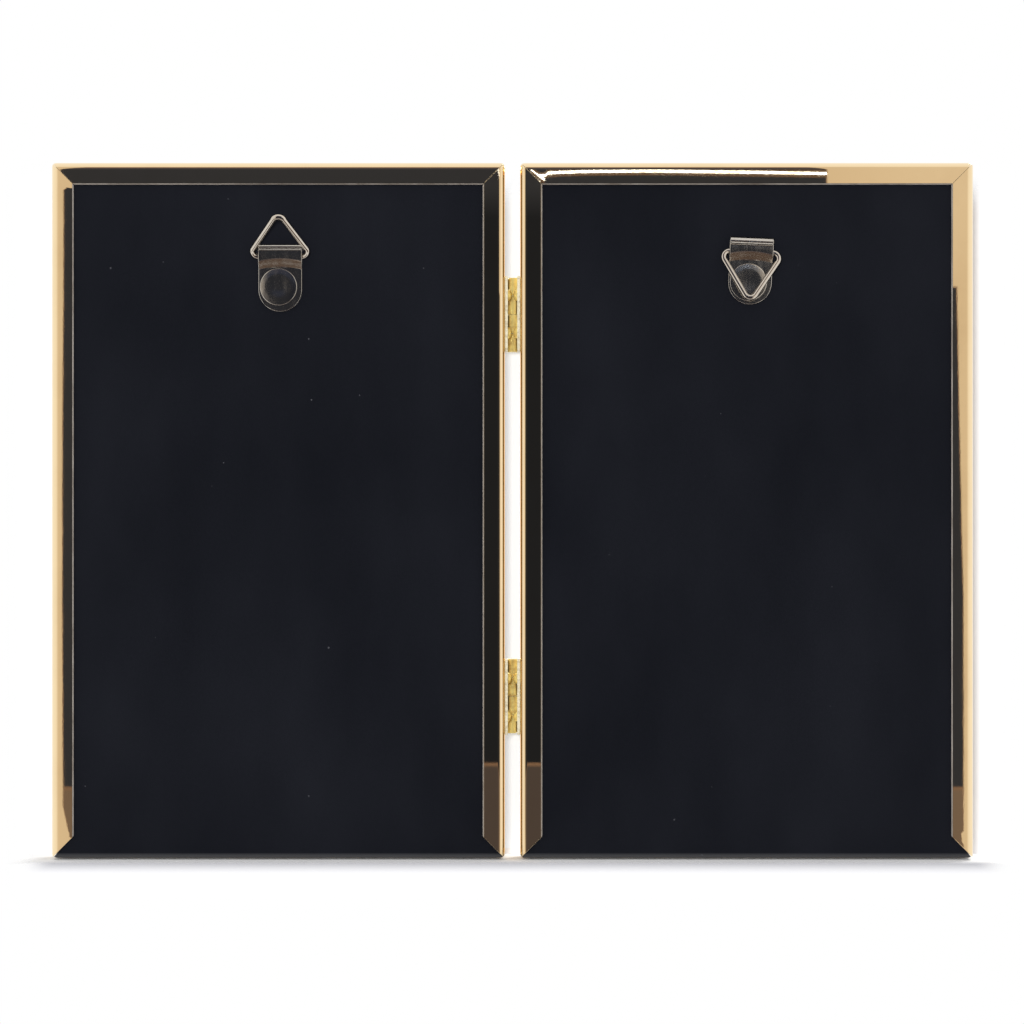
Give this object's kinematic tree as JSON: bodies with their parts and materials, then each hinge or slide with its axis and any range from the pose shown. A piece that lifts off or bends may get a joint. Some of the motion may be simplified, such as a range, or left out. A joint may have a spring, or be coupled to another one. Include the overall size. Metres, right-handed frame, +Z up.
{
  "type": "double photo frame",
  "caption": "Double photo frame hinged like a book: mitred gilt metal rails, glass, velvet backs that slide out below, and riveted straps with triangular wire hanging rings.",
  "frame": {"origin": "middle of the base of the open pair, halfway between the hinge barrels at the front and the tip of the raised ring at the back", "axes": "+X along the pair towards the right frame as seen from the picture side, +Y from the picture side to the velvet backs, +Z up"},
  "size_m": [0.2186, 0.0214, 0.165],
  "materials": {
    "gilt_rails": "polished, lacquered",
    "hinge_brass": "bright, lightly tarnished",
    "nickel": "bright nickel plate",
    "plated_steel": "zinc plate",
    "velvet": "short pile, matte",
    "fibreboard": "raw",
    "black_paper": "flocked, matte",
    "grey_card": "raw",
    "blank_paper": "smooth",
    "glass": "clear"
  },
  "bodies": {
    "left_frame": {"left_rail_top": "gilt_rails", "left_rail_outer": "gilt_rails", "left_rail_inner": "gilt_rails", "left_rail_bottom": "gilt_rails", "left_corner_keys": "plated_steel", "left_glass": "glass", "left_photo_insert": "blank_paper", "left_spacer_card": "grey_card", "left_hinge_leaf_upper": "hinge_brass", "left_hinge_leaf_lower": "hinge_brass", "left_hinge_rivets": "hinge_brass", "hinge_pin_upper": "hinge_brass", "hinge_pin_lower": "hinge_brass"},
    "right_frame": {"right_rail_top": "gilt_rails", "right_rail_outer": "gilt_rails", "right_rail_inner": "gilt_rails", "right_rail_bottom": "gilt_rails", "right_corner_keys": "plated_steel", "right_glass": "glass", "right_photo_insert": "blank_paper", "right_spacer_card": "grey_card", "right_hinge_leaf_upper": "hinge_brass", "right_hinge_leaf_lower": "hinge_brass", "right_hinge_rivets": "hinge_brass"},
    "left_back": {"left_back_board": "fibreboard", "left_back_velvet": "velvet", "left_back_lining": "black_paper", "left_hanger_strap": "nickel", "left_hanger_rivet": "nickel", "left_hanger_washer": "plated_steel"},
    "right_back": {"right_back_board": "fibreboard", "right_back_velvet": "velvet", "right_back_lining": "black_paper", "right_hanger_strap": "nickel", "right_hanger_rivet": "nickel", "right_hanger_washer": "plated_steel"},
    "left_ring": {"left_hanger_ring": "nickel"},
    "right_ring": {"right_hanger_ring": "nickel"}
  },
  "joints": [
    {"name": "book_fold", "type": "hinge", "parent": "left_frame", "child": "right_frame", "pos_m": [0, -0.0089, 0.0825], "axis": [0, 0, -1], "range_deg": [0, 180]},
    {"name": "left_back_slide", "type": "slide", "parent": "left_frame", "child": "left_back", "axis": [0, 0, -1], "range_m": [0, 0.15]},
    {"name": "right_back_slide", "type": "slide", "parent": "right_frame", "child": "right_back", "axis": [0, 0, -1], "range_m": [0, 0.15]},
    {"name": "left_ring_swing", "type": "hinge", "parent": "left_back", "child": "left_ring", "pos_m": [-0.0566, 0.0029, 0.1438], "axis": [0.999, 0, 0.0436], "range_deg": [0, 134]},
    {"name": "right_ring_swing", "type": "hinge", "parent": "right_back", "child": "right_ring", "pos_m": [0.05505, 0.0029, 0.1426], "axis": [-1, 0, 0], "range_deg": [-12, 127]}
  ]
}
